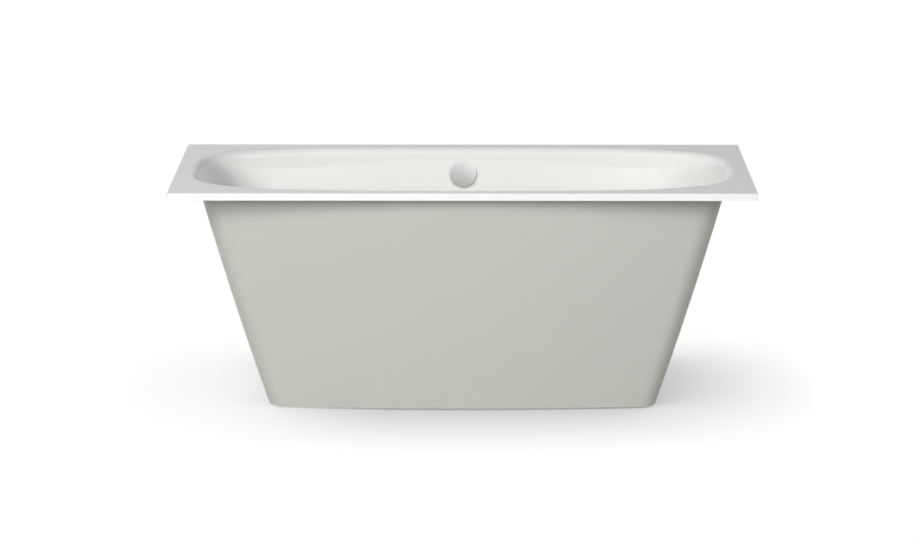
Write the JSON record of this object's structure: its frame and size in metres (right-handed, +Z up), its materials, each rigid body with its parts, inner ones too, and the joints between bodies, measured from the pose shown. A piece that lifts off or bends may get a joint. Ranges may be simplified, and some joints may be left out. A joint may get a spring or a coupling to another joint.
{
  "type": "bathtub",
  "caption": "Bathtub with a flat rectangular rim, an oval basin and a tapered casing, on levelling feet, with an overflow knob that lifts the plug, and a trap.",
  "frame": {"origin": "on the floor, under the middle of the rim", "axes": "+X along the bath to the right, seen from the front; -Y is the front with the casing, +Y the open back towards the wall; +Z up"},
  "size_m": [1.6, 0.7, 0.63],
  "materials": {
    "enamel": "gloss",
    "casing_paint": "satin",
    "chrome_trim": "polished",
    "zinc_steel": "satin",
    "stainless": "satin",
    "brass_screw": "satin",
    "black_rubber": "matte",
    "bitumen": "matte",
    "black_plastic": "matte",
    "white_plastic": "satin",
    "lever_plastic": "satin",
    "cable_sheath": "satin"
  },
  "bodies": {
    "bath": {"bath_shell": "enamel", "casing": "casing_paint", "drain_ring": "chrome_trim", "foot_rail_left": "zinc_steel", "foot_rail_right": "zinc_steel", "casing_hangers": "zinc_steel", "casing_screws": "zinc_steel", "casing_nuts": "zinc_steel", "weld_studs": "zinc_steel", "weld_nuts": "zinc_steel", "foot_nuts": "zinc_steel", "earth_lug": "zinc_steel", "overflow_clamp": "stainless", "overflow_screws": "stainless", "lever_pin": "stainless", "earth_screw": "brass_screw", "casing_spacers": "black_rubber", "rail_pads": "black_rubber", "overflow_seal": "black_rubber", "drain_seal": "black_rubber", "sound_pads": "bitumen", "overflow_housing": "white_plastic", "overflow_pipe": "white_plastic", "drain_housing": "white_plastic", "pipe_nut_upper": "white_plastic", "pipe_nut_lower": "white_plastic", "trap_bend": "white_plastic", "outlet_pipe": "white_plastic", "trap_nut_inlet": "white_plastic", "trap_nut_outlet": "white_plastic", "cable_clips": "white_plastic", "bowden_cable": "cable_sheath"},
    "knob": {"overflow_knob": "chrome_trim", "knob_shaft": "stainless"},
    "lever": {"lift_lever": "lever_plastic"},
    "plug": {"drain_plug": "chrome_trim", "plug_seal": "black_rubber", "plug_stem": "stainless"},
    "plate_front_left": {"foot_plate_front_left": "black_plastic"},
    "stud_front_left": {"foot_stud_front_left": "zinc_steel"},
    "plate_front_right": {"foot_plate_front_right": "black_plastic"},
    "stud_front_right": {"foot_stud_front_right": "zinc_steel"},
    "plate_back_left": {"foot_plate_back_left": "black_plastic"},
    "stud_back_left": {"foot_stud_back_left": "zinc_steel"},
    "plate_back_right": {"foot_plate_back_right": "black_plastic"},
    "stud_back_right": {"foot_stud_back_right": "zinc_steel"}
  },
  "joints": [
    {"name": "knob_turn", "type": "hinge", "parent": "bath", "child": "knob", "pos_m": [0, 0.28881, 0.555], "axis": [0, -0.9902, 0.1397], "range_deg": [0, 60]},
    {"name": "lever_tip", "type": "hinge", "parent": "bath", "child": "lever", "pos_m": [0, 0.022, 0.124], "axis": [-1, 0, 0], "range_deg": [0, 26.3]},
    {"name": "plug_lift", "type": "slide", "parent": "bath", "child": "plug", "axis": [0, 0, 1], "range_m": [0, 0.01]},
    {"name": "foot_slide_front_left", "type": "slide", "parent": "bath", "child": "plate_front_left", "axis": [0, 0, -1], "range_m": [-0.005, 0.02]},
    {"name": "stud_turn_front_left", "type": "hinge", "parent": "plate_front_left", "child": "stud_front_left", "pos_m": [-0.37, -0.2, 0.008], "axis": [0, 0, -1], "range_deg": [-1030, 4116]},
    {"name": "foot_slide_front_right", "type": "slide", "parent": "bath", "child": "plate_front_right", "axis": [0, 0, -1], "range_m": [-0.005, 0.02]},
    {"name": "stud_turn_front_right", "type": "hinge", "parent": "plate_front_right", "child": "stud_front_right", "pos_m": [0.37, -0.2, 0.008], "axis": [0, 0, -1], "range_deg": [-1030, 4116]},
    {"name": "foot_slide_back_left", "type": "slide", "parent": "bath", "child": "plate_back_left", "axis": [0, 0, -1], "range_m": [-0.005, 0.02]},
    {"name": "stud_turn_back_left", "type": "hinge", "parent": "plate_back_left", "child": "stud_back_left", "pos_m": [-0.37, 0.2, 0.008], "axis": [0, 0, -1], "range_deg": [-1030, 4116]},
    {"name": "foot_slide_back_right", "type": "slide", "parent": "bath", "child": "plate_back_right", "axis": [0, 0, -1], "range_m": [-0.005, 0.02]},
    {"name": "stud_turn_back_right", "type": "hinge", "parent": "plate_back_right", "child": "stud_back_right", "pos_m": [0.37, 0.2, 0.008], "axis": [0, 0, -1], "range_deg": [-1030, 4116]}
  ],
  "couplings": [
    {"joint": "lever_tip", "follows": "knob_turn", "ratio": 0.43789},
    {"joint": "plug_lift", "follows": "knob_turn", "m_per_rad": 0.009549},
    {"joint": "stud_turn_front_left", "follows": "foot_slide_front_left", "rad_per_m": 3590.4},
    {"joint": "stud_turn_front_right", "follows": "foot_slide_front_right", "rad_per_m": 3590.4},
    {"joint": "stud_turn_back_left", "follows": "foot_slide_back_left", "rad_per_m": 3590.4},
    {"joint": "stud_turn_back_right", "follows": "foot_slide_back_right", "rad_per_m": 3590.4}
  ]
}
